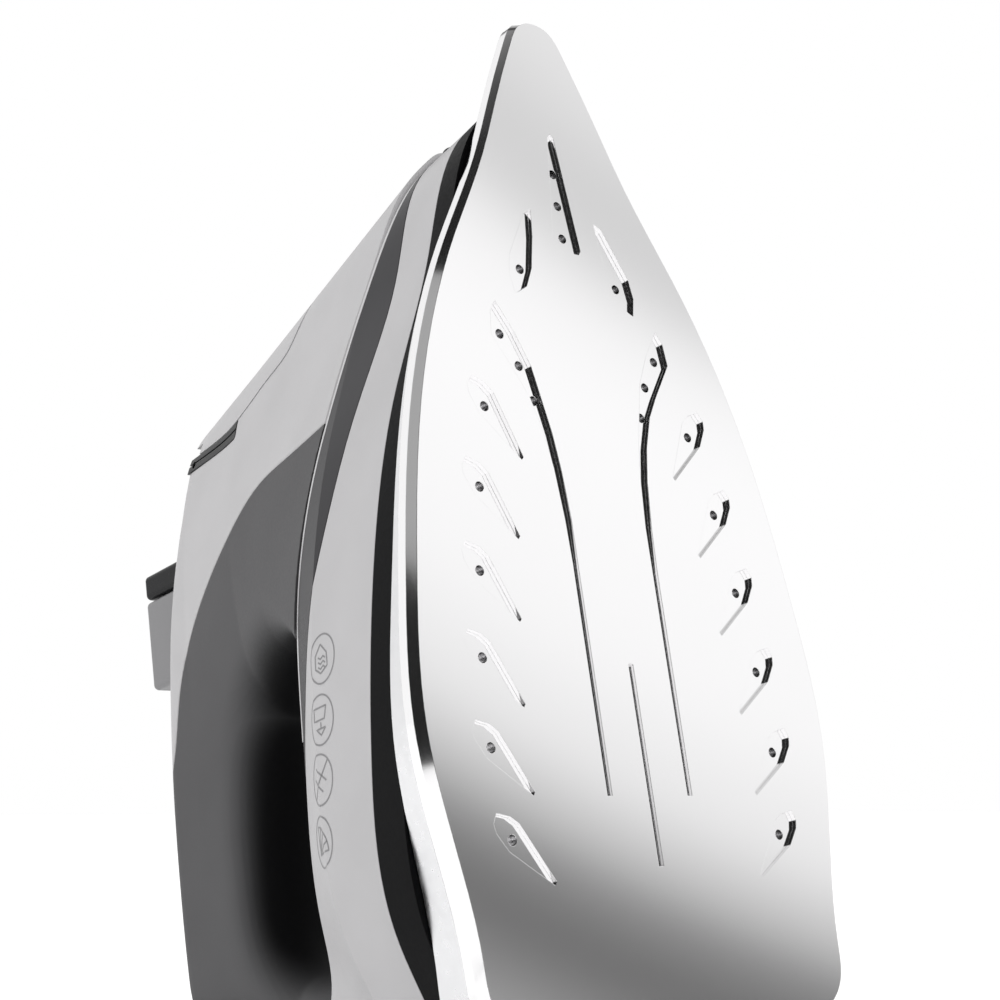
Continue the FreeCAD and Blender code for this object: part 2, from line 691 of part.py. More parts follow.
def make_steam_control():
    valve = size("valve_behind")
    radius = size("valve_radius")
    piece("drip_valve", tube(3.0, radius + 0.05, (0, valve, 21.5), (0, valve, 33)))
    piece("valve_rod", rod(radius, (0, valve, 24), (0, valve, 138.5)))
    knob = rounded_box((0, 78.0, 147.0), (6.0, 6.0, 6.0), 1.0)
    foot = box((0, 78.0, 142.0), (10, 11, 1.6))
    stem = box((0, 78.0, 143.6), (5, 5, 3.0))
    piece("steam_selector", knob.fuse(stem).fuse(foot))
    funnel = tube(9.0, 7.6, (0, 58, 38.5), (0, 58, 74))
    flare = Part.makeCone(9.0, 10.6, 9, Vector(0, 58, 74)).cut(Part.makeCone(7.6, 9.4, 9, Vector(0, 58, 74)))
    piece("fill_funnel", funnel.fuse(flare).common(body_form(size("wall") + 0.3)))


def make_dial():
    """Temperature dial with a ribbed edge and a pointer, turned as one with its shaft."""
    shaft = size("shaft_behind")
    low = 65.6
    body = doc.addObject("PartDesign::Body", "DialBody")
    disc_sketch = new_sketch(body, "DialOutline")
    add_circle(disc_sketch, Vector(0, 0, 0), size("dial_radius"))
    disc = body.newObject("PartDesign::Pad", "DialPad")
    disc.Profile = disc_sketch
    disc.setExpression("Length", "Sizes.dial_height")
    doc.recompute()
    rim = [f"Edge{number}" for number, edge in enumerate(disc.Shape.Edges, start=1) if edge.BoundBox.ZMin > 1]
    top = body.newObject("PartDesign::Fillet", "DialRim")
    top.Base = (disc, rim)
    top.Radius = 1.6
    doc.recompute()
    flute_sketch = new_sketch(body, "DialFlute")
    add_circle(flute_sketch, Vector(size("dial_radius") + 0.6, 0, 0), 1.4)
    flute = body.newObject("PartDesign::Pocket", "DialFlutePocket")
    flute.Profile = flute_sketch
    flute.Reversed = True
    flute.setExpression("Length", "Sizes.dial_height + 1")
    doc.recompute()
    ring = body.newObject("PartDesign::PolarPattern", "DialFlutes")
    ring.Originals = [flute]
    ring.Axis = (next(item for item in body.Origin.OriginFeatures if item.Role == "Z_Axis"), [""])
    ring.Occurrences = 36
    body.Tip = ring
    bore_sketch = new_sketch(body, "DialBore")
    add_circle(bore_sketch, Vector(0, 0, 0), size("shaft_radius"))
    bore = body.newObject("PartDesign::Pocket", "DialBorePocket")
    bore.Profile = bore_sketch
    bore.Reversed = True
    bore.setExpression("Length", "Sizes.dial_height - 2")
    doc.recompute()
    body.Label = "temperature_dial"
    body.Placement = STAND.multiply(Placement(Vector(0, shaft, low), Rotation()))
    nodes.append(body)
    spindle = doc.addObject("Part::Cylinder", "ShaftCylinder")
    spindle.Label = "thermostat_shaft"
    spindle.setExpression("Radius", "Sizes.shaft_radius")
    spindle.Height = low + size("dial_height") - 2 - 26
    spindle.Placement = STAND.multiply(Placement(Vector(0, shaft, 26), Rotation()))
    nodes.append(spindle)


def nozzle_line():
    """Inner end and direction of the spray nozzle on the prow."""
    way = Vector(0, -0.95, 0.3).normalize()
    return Vector(0, 20.6, 35.0) - way * 3.0, way


def make_spray_line():
    start, way = nozzle_line()
    radius = size("nozzle_radius")
    barrel = Part.makeCylinder(radius, 5.0, start, way)
    tip = Part.makeCone(radius, 2.0, 1.4, start + way * 5.0, way)
    piece("spray_nozzle", barrel.fuse(tip).cut(Part.makeCylinder(0.6, 9, start, way)))


# ---------------------------------------------------------------- heel, electrics, gland

PADS = ((19.5, 32.5, 22.0), (133.0, 143.0, 8.5))
HEEL_SCREWS = ((-17, 46), (17, 46), (0, 112))


def heel_frame():
    """Frame on the resting plane: X across, Y up the heel, Z into the body."""
    rotation = Rotation(Vector(1, 0, 0), size("lean_angle"))
    return Placement(Vector(0, size("heel_reach"), 0), rotation)


def pad_block(low, high, half, start, end):
    """Rounded bar between two depths behind the resting plane."""
    tall = (high - low) / math.cos(LEAN)
    block = Part.makeBox(2 * half, end - start, tall, Vector(-half, -end, low / math.cos(LEAN)))
    short = [edge for edge in block.Edges if abs(edge.tangentAt(edge.FirstParameter).y) > 0.9]
    block = block.makeFillet(tall * 0.4, short)
    block.Placement = heel_frame()
    return block


def heel_rod(radius, x, up, start, end):
    cylinder = Part.makeCylinder(radius, end - start, Vector(x, -start, up / math.cos(LEAN)), Vector(0, -1, 0))
    cylinder.Placement = heel_frame()
    return cylinder


def make_heel_fittings():
    pads = None
    for low, high, half in PADS:
        pad = pad_block(low, high, half, 0, 6.2)
        pads = pad if pads is None else pads.fuse(pad)
    piece("heel_pads", pads)
    screws = None
    for x, up in HEEL_SCREWS:
        head = heel_rod(2.9, x, up, 4.8, 6.2).cut(heel_rod(1.0, x, up, 4.5, 5.5))
        one = head.fuse(heel_rod(size("screw_radius"), x, up, 6.2, 13))
        screws = one if screws is None else screws.fuse(one)
    piece("heel_screws", screws)
    board = box((0, 226, 47), (44, 1.6, 26))
    parts = rod(4, (-12, 225.2, 47), (-12, 217, 47)).fuse(box((8, 222, 47), (10, 6.4, 12)))
    piece("auto_off_board", board.fuse(parts))
    block = rounded_box((0, 203, 33), (26, 12, 10), 1.0)
    for x in (-7, 0, 7):
        block = block.cut(rod(1.6, (x, 203, 34), (x, 203, 40)))
    piece("terminal_block", block)
    spar = rounded_box((0, 172, 141), (16, 60, 9), 2.0)
    screw_places = (150, 195)
    for behind in screw_places:
        spar = spar.cut(rod(1.6, (0, behind, 130), (0, behind, 150)))
    piece("handle_spar", spar)
    piece("spar_screws", join([screw(0, behind, 145.5, 12) for behind in screw_places]))


def gland_well():
    behind = size("gland_behind")
    up = size("gland_up")
    half = size("gland_half_length") + 0.4
    well = rod(size("gland_radius") + 0.4, (-half, behind, up), (half, behind, up))
    caps = rod(6.9, (-half - 2.4, behind, up), (half + 2.4, behind, up))
    slot = Part.makeBox(2 * half, 23, 50, Vector(-half, behind - 14.5, up + 1))
    return well.fuse(caps).fuse(slot)


def make_gland():
    """Cord outlet that swivels on a cross barrel; the cord itself isn't part of the model."""
    behind = size("gland_behind")
    up = size("gland_up")
    half = size("gland_half_length")
    barrel = rod(size("gland_radius"), (-half, behind, up), (half, behind, up))
    neck_way = Vector(0, -0.2, 0.98).normalize()
    centre = Vector(0, behind, up)
    neck = Part.makeCylinder(6.2, 17, centre, neck_way)
    lip = Part.makeCylinder(6.9, 2.5, centre + neck_way * 14.5, neck_way)
    gland = barrel.fuse(neck).fuse(lip)
    gland = gland.cut(Part.makeCylinder(size("cord_bore"), 40, centre - neck_way * 10, neck_way))
    axle = rod(2.5 + size("running_gap"), (-30, behind, up), (30, behind, up))
    for side in (-1, 1):
        gland = gland.cut(axle.common(box((side * 12.5, behind, up), (17, 20, 20))))
    piece("cord_gland", gland)
    caps = None
    for side in (-1, 1):
        plate = rod(6.5, (side * (half + 0.5), behind, up), (side * (half + 2.3), behind, up))
        stub = rod(2.5, (side * (half - 4.5), behind, up), (side * (half + 1), behind, up))
        cap = plate.fuse(stub)
        caps = cap if caps is None else caps.fuse(cap)
    piece("gland_caps", caps)


# ---------------------------------------------------------------- build

make_soleplate()
make_hot_parts()
make_skirt()
make_shell_and_tank()
make_upper_casing()
make_buttons()
make_steam_control()
make_dial()
make_spray_line()
make_heel_fittings()
make_gland()
doc.recompute()

for item in doc.Objects:
    if "Invalid" in item.State or "Error" in item.State:
        raise RuntimeError(f"{item.Name} failed: {item.State}")
os.makedirs("parts", exist_ok=True)
for node in nodes:
    if node.Shape.isNull() or not node.Shape.isValid():
        raise RuntimeError(f"{node.Label} has a bad shape")
    solids = node.Shape.Solids
    print(node.Label, len(solids), round(node.Shape.Volume), [round(x.Volume, 1) for x in solids][:6])
    node.Shape.exportStep(f"parts/{node.Label}.step")
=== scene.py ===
"""Looks for the steam iron: materials, the rounded handle casing, printed marks and a pale studio."""

import math

import bmesh
import bpy
import numpy as np
from mathutils import Matrix, Vector
from mathutils.bvhtree import BVHTree


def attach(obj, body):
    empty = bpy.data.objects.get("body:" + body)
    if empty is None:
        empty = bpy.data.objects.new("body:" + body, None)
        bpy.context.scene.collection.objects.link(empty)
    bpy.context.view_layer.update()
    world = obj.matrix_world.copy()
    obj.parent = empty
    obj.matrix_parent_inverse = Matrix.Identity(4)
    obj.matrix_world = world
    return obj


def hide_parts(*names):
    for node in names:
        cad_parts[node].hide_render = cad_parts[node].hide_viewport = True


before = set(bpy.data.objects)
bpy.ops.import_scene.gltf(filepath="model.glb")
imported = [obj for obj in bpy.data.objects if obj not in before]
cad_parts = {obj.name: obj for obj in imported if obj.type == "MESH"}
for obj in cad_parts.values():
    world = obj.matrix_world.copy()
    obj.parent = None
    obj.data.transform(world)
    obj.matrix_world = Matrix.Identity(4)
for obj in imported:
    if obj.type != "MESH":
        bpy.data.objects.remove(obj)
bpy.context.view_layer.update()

# ------------------------------------------------------------ frame of the iron
# The iron is described lying down: x across, v back from the nose, h up from the sole face, in mm.

LEAN = math.radians(11.5)
HEEL_REACH = 262.0
ORIGIN_UP = 26.0
ORIGIN_BEHIND = HEEL_REACH - ORIGIN_UP * math.tan(LEAN)
SHIFT_Y = ORIGIN_BEHIND * math.sin(LEAN) - ORIGIN_UP * math.cos(LEAN)
SHIFT_Z = ORIGIN_BEHIND * math.cos(LEAN) + ORIGIN_UP * math.sin(LEAN)


def stand(points):
    """Lying millimetres to standing metres."""
    points = np.asarray(points, float).reshape(-1, 3)
    x, v, h = points.T
    y = -math.sin(LEAN) * v + math.cos(LEAN) * h + SHIFT_Y
    z = -math.cos(LEAN) * v - math.sin(LEAN) * h + SHIFT_Z
    return np.stack([x, y, z], 1) / 1000


def lie_down(points):
    """Standing metres to lying millimetres."""
    points = np.asarray(points, float).reshape(-1, 3) * 1000
    y = points[:, 1] - SHIFT_Y
    z = points[:, 2] - SHIFT_Z
    v = -math.sin(LEAN) * y - math.cos(LEAN) * z
    h = math.cos(LEAN) * y - math.sin(LEAN) * z
    return np.stack([points[:, 0], v, h], 1)


# ------------------------------------------------------------ materials


def new_material(name):
    material = bpy.data.materials.new(name)
    material.use_nodes = True
    tree = material.node_tree
    shader = tree.nodes["Principled BSDF"]
    place = tree.nodes.new("ShaderNodeTexCoord")
    return material, tree, shader, place.outputs["Object"]


def noise(tree, place, scale, detail=2.0, stretch=(1, 1, 1)):
    mapping = tree.nodes.new("ShaderNodeMapping")
    mapping.inputs["Scale"].default_value = stretch
    tree.links.new(place, mapping.inputs["Vector"])
    texture = tree.nodes.new("ShaderNodeTexNoise")
    texture.inputs["Scale"].default_value = scale
    texture.inputs["Detail"].default_value = detail
    tree.links.new(mapping.outputs["Vector"], texture.inputs["Vector"])
    return texture.outputs["Fac"]


def spread(tree, value, low, high):
    ranged = tree.nodes.new("ShaderNodeMapRange")
    ranged.inputs["From Min"].default_value = 0.3
    ranged.inputs["From Max"].default_value = 0.7
    ranged.inputs["To Min"].default_value = low
    ranged.inputs["To Max"].default_value = high
    tree.links.new(value, ranged.inputs["Value"])
    return ranged.outputs["Result"]


def tint(tree, shader, value, colour, change):
    """Base colour that drifts a little about its mean."""
    mix = tree.nodes.new("ShaderNodeMix")
    mix.data_type = "RGBA"
    mix.inputs["A"].default_value = (*[c * (1 - change) for c in colour], 1)
    mix.inputs["B"].default_value = (*[min(1, c * (1 + change)) for c in colour], 1)
    tree.links.new(value, mix.inputs["Factor"])
    tree.links.new(mix.outputs["Result"], shader.inputs["Base Color"])


def relief(tree, shader, height, strength, depth, edge):
    """Rounded edges under a fine bump."""
    bevel = tree.nodes.new("ShaderNodeBevel")
    bevel.samples = 4
    bevel.inputs["Radius"].default_value = edge
    bump = tree.nodes.new("ShaderNodeBump")
    bump.inputs["Strength"].default_value = strength
    bump.inputs["Distance"].default_value = depth
    tree.links.new(height, bump.inputs["Height"])
    tree.links.new(bevel.outputs["Normal"], bump.inputs["Normal"])
    tree.links.new(bump.outputs["Normal"], shader.inputs["Normal"])


def plastic(name, colour, rough, grain=1400, bump=0.12, coat=0.0, clear=0.0, edge=0.0004, shine=0.3):
    material, tree, shader, place = new_material(name)
    broad = spread(tree, noise(tree, place, 45), 0.0, 1.0)
    tint(tree, shader, broad, colour, 0.03)
    fine = noise(tree, place, grain, 3.0)
    tree.links.new(spread(tree, fine, rough - 0.04, rough + 0.05), shader.inputs["Roughness"])
    relief(tree, shader, fine, bump, 0.00008, edge)
    shader.inputs["IOR"].default_value = 1.47
    shader.inputs["Coat Weight"].default_value = coat
    shader.inputs["Coat Roughness"].default_value = 0.08
    shader.inputs["Specular IOR Level"].default_value = shine
    shader.inputs["Transmission Weight"].default_value = clear
    return material


def paint_opening_shade(material):
    """Painted shade: the grip's base colour turns near black where its surface faces down towards the sole or back
    towards the heel, as the handle's underside and the front wall of the hand opening do, standing in for the
    shadow there.
    """
    tree = material.node_tree
    shader = tree.nodes["Principled BSDF"]
    place = tree.nodes.new("ShaderNodeNewGeometry")
    shade_amounts = []
    for way in ((0, -math.cos(LEAN), math.sin(LEAN)), (0, -math.sin(LEAN), -math.cos(LEAN))):
        facing = tree.nodes.new("ShaderNodeVectorMath")
        facing.operation = "DOT_PRODUCT"
        facing.inputs[1].default_value = way
        tree.links.new(place.outputs["Normal"], facing.inputs[0])
        amount = tree.nodes.new("ShaderNodeMapRange")
        amount.interpolation_type = "SMOOTHSTEP"
        amount.inputs["From Min"].default_value = 0.02
        amount.inputs["From Max"].default_value = 0.85
        tree.links.new(facing.outputs["Value"], amount.inputs["Value"])
        shade_amounts.append(amount.outputs["Result"])
    most = tree.nodes.new("ShaderNodeMath")
    most.operation = "MAXIMUM"
    tree.links.new(shade_amounts[0], most.inputs[0])
    tree.links.new(shade_amounts[1], most.inputs[1])
    mix = tree.nodes.new("ShaderNodeMix")
    mix.data_type = "RGBA"
    # Near-black colour of the painted shade in the hand opening.
    mix.inputs["B"].default_value = (0.006, 0.006, 0.0065, 1)
    tree.links.new(shader.inputs["Base Color"].links[0].from_socket, mix.inputs["A"])
    tree.links.new(most.outputs[0], mix.inputs["Factor"])
    tree.links.new(mix.outputs["Result"], shader.inputs["Base Color"])


def metal(name, colour, rough, stretch=(1, 1, 1), grain=900, bump=0.05, change=0.03, edge=0.0003, drift=0.2):
    material, tree, shader, place = new_material(name)
    broad = spread(tree, noise(tree, place, 30), 0.0, 1.0)
    tint(tree, shader, broad, colour, change)
    fine = noise(tree, place, grain, 3.0, stretch)
    tree.links.new(spread(tree, fine, rough * (1 - drift), rough * (1 + drift)), shader.inputs["Roughness"])
    relief(tree, shader, fine, bump, 0.00004, edge)
    shader.inputs["Metallic"].default_value = 1.0
    return material


MATERIALS = {
    "sole_steel": metal("sole_steel", (0.93, 0.925, 0.93), 0.09, (1, 1, 0.2), 1600, 0.0005, 0.003, 0.0002, 0.03),
    "cast_alloy": metal("cast_alloy", (0.80, 0.80, 0.81), 0.32, grain=500, bump=0.2),
    "element_steel": metal("element_steel", (0.45, 0.42, 0.40), 0.38, bump=0.1, change=0.12),
    "plate_steel": metal("plate_steel", (0.60, 0.60, 0.60), 0.3, (1, 0.05, 1)),
    "screw_steel": metal("screw_steel", (0.66, 0.66, 0.68), 0.24, (1, 1, 0.2)),
    "brass_fitting": metal("brass_fitting", (0.75, 0.58, 0.30), 0.25, (1, 0.2, 1)),
    "seal_rubber": plastic("seal_rubber", (0.025, 0.025, 0.026), 0.62, 700, 0.3),
    "ceramic_white": plastic("ceramic_white", (0.82, 0.80, 0.77), 0.22, 500, 0.08, coat=0.5),
    "skirt_black": plastic("skirt_black", (0.004, 0.004, 0.0045), 0.42, 1100, 0.15, shine=0.04),
    "shell_grey": plastic("shell_grey", (0.50, 0.494, 0.502), 0.36, 1800, 0.02, shine=0.15),
    "tank_smoke": plastic("tank_smoke", (0.050, 0.049, 0.052), 0.22, 1500, 0.02, shine=0.03),
    "trim_light": plastic("trim_light", (0.55, 0.54, 0.55), 0.24, 1800, 0.02, coat=0.1),
    "grip_dark": plastic("grip_dark", (0.105, 0.104, 0.107), 0.50, 1500, 0.06, shine=0.06),
    "lens_amber": plastic("lens_amber", (0.90, 0.42, 0.07), 0.08, 900, 0.02, coat=0.8, clear=0.5),
    "heel_black": plastic("heel_black", (0.014, 0.014, 0.015), 0.45, 1000, 0.16, shine=0.1),
    "recess_black": plastic("recess_black", (0.010, 0.010, 0.011), 0.30, 1400, 0.05, shine=0.15),
    "button_grey": plastic("button_grey", (0.24, 0.238, 0.244), 0.36, 1600, 0.05, shine=0.2),
    "inner_white": plastic("inner_white", (0.74, 0.74, 0.72), 0.4, 1200, 0.08),
    "board_green": plastic("board_green", (0.04, 0.20, 0.09), 0.28, 900, 0.12, coat=0.5),
}


# Painted shade on the grip where it faces into the hand opening.
paint_opening_shade(MATERIALS["grip_dark"])


def finish_as(piece, name):
    piece.data.materials.clear()
    piece.data.materials.append(MATERIALS[name])


def dress_nodes():
    """Give each CAD node the finish of its own slot and keep its mesh."""
    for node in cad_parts.values():
        for place in node.material_slots:
            name = place.material.name.split(".")[0]
            place.material = MATERIALS[name]


# ------------------------------------------------------------ lines of the casing

# The same design lines as the CAD casing: (half width, distance back) at each height.
BODY_HEIGHTS = (45, 112, 145, 168)
BODY_SECTIONS = (
    ((0, 19.5), (7, 23.4), (14.4, 31), (28.4, 63), (41.7, 98), (51.2, 137),
     (54.6, 178), (51.8, 210), (41, 234), (33, 244), (22, 248), (0, 249.5)),
    ((0, 43), (7, 45.6), (13, 51.5), (21.4, 72), (26.3, 99), (25.5, 125),
     (22.3, 150), (22, 178), (23, 205), (20, 222), (12, 233), (0, 235.5)),
    ((0, 54), (6.5, 55.8), (12.5, 61.5), (17.6, 79), (20, 100), (21, 125),
     (21.3, 150), (21.3, 178), (21, 205), (19, 218), (12, 226), (0, 228.5)),
    ((0, 62.5), (6, 64), (11.5, 68.5), (16.6, 84), (19, 103), (20, 125),
     (20.3, 150), (20.3, 178), (20, 203), (18, 215), (11, 223), (0, 225.5)),
)
# Side lines: (distance back, height).
DECK_LINE = ((-20, 40), (53, 40), (68, 45.5), (92, 49.8), (122, 56), (137, 58.4), (155, 58.7),
             (170, 58.9), (185, 61), (198, 65), (210, 71.5), (225, 82.4), (245, 95), (285, 120))
TOP_LINE = ((20, 100), (40, 129), (55, 139.5), (64, 143), (78, 147), (93, 151), (115, 155.5),
            (135, 158), (160, 160), (200, 160.5), (250, 160), (285, 159.5))
GRIP_LINE = ((89, 40), (89.6, 76), (90.5, 92), (94.5, 105), (102, 121), (110, 134),
             (119, 144), (132, 151), (147, 156), (165, 172))
DOOR_LINE = ((30, 83.5), (50, 83.8), (54.5, 86.5), (58, 95), (61.5, 105), (65, 116.5),
             (65.6, 125), (65.2, 138), (64.8, 155))
HAND_HOLE = ((141, 60), (136.5, 78), (138, 98), (147, 113), (162, 119), (185, 121),
             (201, 119), (211, 110), (215, 97), (213, 84), (205, 70), (196, 65.5), (185, 62.3), (165, 60))


def spline(knots, steps=16, closed=False, flat_ends=False):
    """Cubic spline through the knots, sampled evenly between each pair."""
    points = np.asarray(knots, float)
    if closed:
        points = np.concatenate([points[-4:], points, points[:5]])
    run = np.linalg.norm(np.diff(points, axis=0), axis=1)
    count = len(points)
    matrix = np.zeros((count, count))
    right = np.zeros((count, 2))
    for i in range(1, count - 1):
        matrix[i, i - 1 : i + 2] = run[i], 2 * (run[i - 1] + run[i]), run[i - 1]
        right[i] = 3 * (
            run[i] * (points[i] - points[i - 1]) / run[i - 1]
            + run[i - 1] * (points[i + 1] - points[i]) / run[i]
        )
    if flat_ends:
        matrix[0, 0] = matrix[-1, -1] = 1
        right[0] = 1, 0
        right[-1] = -1, 0
    else:
        matrix[0, :2] = 2, 1
        right[0] = 3 * (points[1] - points[0]) / run[0]
        matrix[-1, -2:] = 1, 2
        right[-1] = 3 * (points[-1] - points[-2]) / run[-1]
    slopes = np.linalg.solve(matrix, right)
    share = np.linspace(0, 1, steps, endpoint=False)[:, None]
    pieces = []
    for i in range(count - 1):
        a, b = points[i], points[i + 1]
        m, n = slopes[i] * run[i], slopes[i + 1] * run[i]
        pieces.append(
            (2 * share**3 - 3 * share**2 + 1) * a + (share**3 - 2 * share**2 + share) * m
            + (3 * share**2 - 2 * share**3) * b + (share**3 - share**2) * n
        )
    if closed:
        return np.concatenate(pieces[4:-4])
    return np.concatenate(pieces + [points[-1:]])


def line_distance(grid_a, grid_b, line, closed=False):
    """Distance from each grid point to a polyline."""
    if closed:
        line = np.concatenate([line, line[:1]])
    best = np.full(grid_a.shape, 1e9)
    for start, end in zip(line, line[1:]):
        run = end - start
        length = max(run @ run, 1e-12)
        share = ((grid_a - start[0]) * run[0] + (grid_b - start[1]) * run[1]) / length
        share = np.clip(share, 0, 1)
        gap_a = grid_a - start[0] - share * run[0]
        gap_b = grid_b - start[1] - share * run[1]
        best = np.minimum(best, gap_a * gap_a + gap_b * gap_b)
    return np.sqrt(best)


def height_over(line, v, h):
    """Signed distance above a side line that runs along the whole iron."""
    gap = line_distance(v, h, line)
    return np.where(h > np.interp(v, line[:, 0], line[:, 1]), gap, -gap)


def inside_loop(line, a, b):
    inside = np.zeros(a.shape, bool)
    for start, end in zip(line, np.roll(line, -1, 0)):
        crosses = (start[1] > b) != (end[1] > b)
        slope = (end[0] - start[0]) / (end[1] - start[1] if end[1] != start[1] else 1e-9)
        inside ^= crosses & (a < start[0] + (b - start[1]) * slope)
    return inside


def soft_max(a, b, width):
    """Maximum with a rounded corner."""
    near = np.clip(1 - np.abs(a - b) / width, 0, None)
    return np.maximum(a, b) + near * near * width / 4


# ------------------------------------------------------------ rounded casing

STEP = 1.0
GRID_X = np.arange(0, 61, STEP)
GRID_V = np.arange(14, 265, STEP)
GRID_H = np.arange(24, 167, STEP)


def halved(values, axis):
    """The same field at half the spacing along one axis."""
    values = np.moveaxis(values, axis, 0)
    dense = np.empty((2 * len(values) - 1, *values.shape[1:]))
    dense[::2] = values
    dense[1::2] = (values[1:] + values[:-1]) / 2
    return np.moveaxis(dense, 0, axis)


def body_field():
    """Signed distance to the lofted body, level by level."""
    sections = [spline(section, 12, flat_ends=True) for section in BODY_SECTIONS]
    coarse_x = GRID_X[::2]
    coarse_v = GRID_V[::2]
    grid_x, grid_v = np.meshgrid(coarse_x, coarse_v, indexing="ij")
    layers = []
    for height in GRID_H:
        upper = next((i for i in range(1, len(BODY_HEIGHTS)) if BODY_HEIGHTS[i] >= height), len(BODY_HEIGHTS) - 1)
        low, high = BODY_HEIGHTS[upper - 1], BODY_HEIGHTS[upper]
        share = (height - low) / (high - low)
        outline = sections[upper - 1] * (1 - share) + sections[upper] * share
        gap = line_distance(grid_x, grid_v, outline)
        half = np.interp(coarse_v, outline[:, 1], outline[:, 0], left=0, right=0)
        layers.append(np.where(grid_x < half, -gap, gap))
    field = np.stack(layers, 2)
    return halved(halved(field, 0), 1)


def casing_field():
    field = body_field()
    v, h = np.meshgrid(GRID_V, GRID_H, indexing="ij")
    top = height_over(spline(TOP_LINE), v, h)
    heel = v * math.cos(LEAN) + h * math.sin(LEAN) - HEEL_REACH * math.cos(LEAN) + 5.0
    hole_line = spline(HAND_HOLE, closed=True)
    gap = line_distance(v, h, hole_line, closed=True)
    hole = np.where(inside_loop(hole_line, v, h), gap, -gap)
    field = soft_max(field, top[None], 3.0)
    field = soft_max(field, heel[None], 1.5)
    rounding = np.clip((h - 58) * 0.55, 1.5, 17.0)
    return soft_max(field, hole[None], rounding[None])


def surface(field):
    """Surface nets over the field: points in grid steps and quads that face outwards."""
    inside = field < 0
    shape = np.array(field.shape) - 1
    total = np.zeros((*shape, 3))
    count = np.zeros(shape)
    corners = [(i, j, k) for i in (0, 1) for j in (0, 1) for k in (0, 1)]
    for a in corners:
        for axis in range(3):
            if a[axis]:
                continue
            b = tuple(a[n] + (n == axis) for n in range(3))
            cut_a = tuple(slice(a[n], a[n] + shape[n]) for n in range(3))
            cut_b = tuple(slice(b[n], b[n] + shape[n]) for n in range(3))
            low, high = field[cut_a], field[cut_b]
            crossing = inside[cut_a] != inside[cut_b]
            share = np.where(crossing, low / np.where(crossing, low - high, 1), 0)
            for n in range(3):
                total[..., n] += crossing * (a[n] + (share if n == axis else 0))
            count += crossing
    used = count > 0
    number = np.full(shape, -1)
    number[used] = np.arange(used.sum())
    points = total[used] / count[used][:, None] + np.argwhere(used)
    quads = []
    for axis in range(3):
        one, two = [n for n in range(3) if n != axis]
        low = [slice(1, -1)] * 3
        high = [slice(1, -1)] * 3
        low[axis] = slice(0, -1)
        high[axis] = slice(1, None)
        crossing = inside[tuple(low)] != inside[tuple(high)]
        where = np.argwhere(crossing)
        start = where.copy()
        start[:, one] += 1
        start[:, two] += 1
        outward = inside[tuple(low)][crossing]
        ring = []
        for shift_one, shift_two in ((1, 1), (0, 1), (0, 0), (1, 0)):
            cell = start.copy()
            cell[:, one] -= shift_one
            cell[:, two] -= shift_two
            ring.append(number[cell[:, 0], cell[:, 1], cell[:, 2]])
        ring = np.stack(ring, 1)
        flip = outward if axis != 1 else ~outward
        ring[~flip] = ring[~flip][:, ::-1]
        quads.append(ring)
    return points, np.concatenate(quads)


def sample(field, points):
    limit = np.array(field.shape) - 1.001
    points = np.clip(points, 0, limit)
    base = points.astype(int)
    part = points - base
    value = 0
    for i in (0, 1):
        for j in (0, 1):
            for k in (0, 1):
                weight = (
                    (part[:, 0] if i else 1 - part[:, 0])
                    * (part[:, 1] if j else 1 - part[:, 1])
                    * (part[:, 2] if k else 1 - part[:, 2])
                )
                value = value + weight * field[base[:, 0] + i, base[:, 1] + j, base[:, 2] + k]
    return value


def settle(field, points, rounds=3):
    """Pull the points onto the zero level."""
    for _ in range(rounds):
        value = sample(field, points)
        slope = np.stack(
            [
                (sample(field, points + offset) - sample(field, points - offset))
                for offset in np.eye(3) * 0.5
            ],
            1,
        )
        size = np.maximum((slope**2).sum(1), 0.05)
        points = points - slope * (value / size)[:, None]
    return points


def casing_surface():
    half = casing_field()
    field = np.concatenate([half[:0:-1], half])
    points, quads = surface(field)
    points = settle(field, points)
    first, second, third = (points[quads[:, n]] for n in range(3))
    if np.einsum("ij,ij->i", first, np.cross(second, third)).sum() < 0:
        quads = quads[:, ::-1]
    origin = np.array([-GRID_X[-1], GRID_V[0], GRID_H[0]])
    return points * STEP + origin, quads


def side_of(line, v, h):
    """Signed distance to a side line that rises steeply: positive behind it."""
    gap = line_distance(v, h, line)
    along = np.interp(h, line[:, 1], line[:, 0])
    return np.where(v > along, gap, -gap)


GRIP_CURVE = spline(GRIP_LINE)
DECK_CURVE = spline(DECK_LINE)
DOOR_CURVE = spline(DOOR_LINE)
HALF_SEAM = 0.15


def above_deck(points):
    return height_over(DECK_CURVE, points[:, 1], points[:, 2]) - 1.9


def before_heel(points):
    return HEEL_REACH * math.cos(LEAN) - 14 - points[:, 1] * math.cos(LEAN) - points[:, 2] * math.sin(LEAN)


def behind_grip_line(points):
    return side_of(GRIP_CURVE, points[:, 1], points[:, 2]) - HALF_SEAM


def before_grip_line(points):
    return -side_of(GRIP_CURVE, points[:, 1], points[:, 2]) - HALF_SEAM


def outside_door(points):
    """Positive outside the fill door and the hinge band behind it."""
    loop = np.concatenate([DOOR_CURVE, [[30, DOOR_CURVE[-1, 1]]]])
    gap = line_distance(points[:, 1], points[:, 2], loop, closed=True)
    door = np.where(inside_loop(loop, points[:, 1], points[:, 2]), -gap, gap) - 0.3
    moved = points[:, 1:] + (-4.7, 4.7)
    gap = line_distance(moved[:, 0], moved[:, 1], loop, closed=True)
    band = np.where(inside_loop(loop, moved[:, 0], moved[:, 1]), -gap, gap)
    band = np.maximum(band, 112.7 - points[:, 2])
    return np.minimum(door, band)


def outside_block(points, centre, half_sizes, low):
    across = np.abs(points[:, 0] - centre[0]) - half_sizes[0]
    back = np.abs(points[:, 1] - centre[1]) - half_sizes[1]
    return np.maximum(np.maximum(across, back), low - points[:, 2])


def outside_buttons(points):
    return outside_block(points, (0, 107.7), (16.9, 16.9), 138)


def outside_selector(points):
    return outside_block(points, (0, 78), (3.5, 8.5), 140)


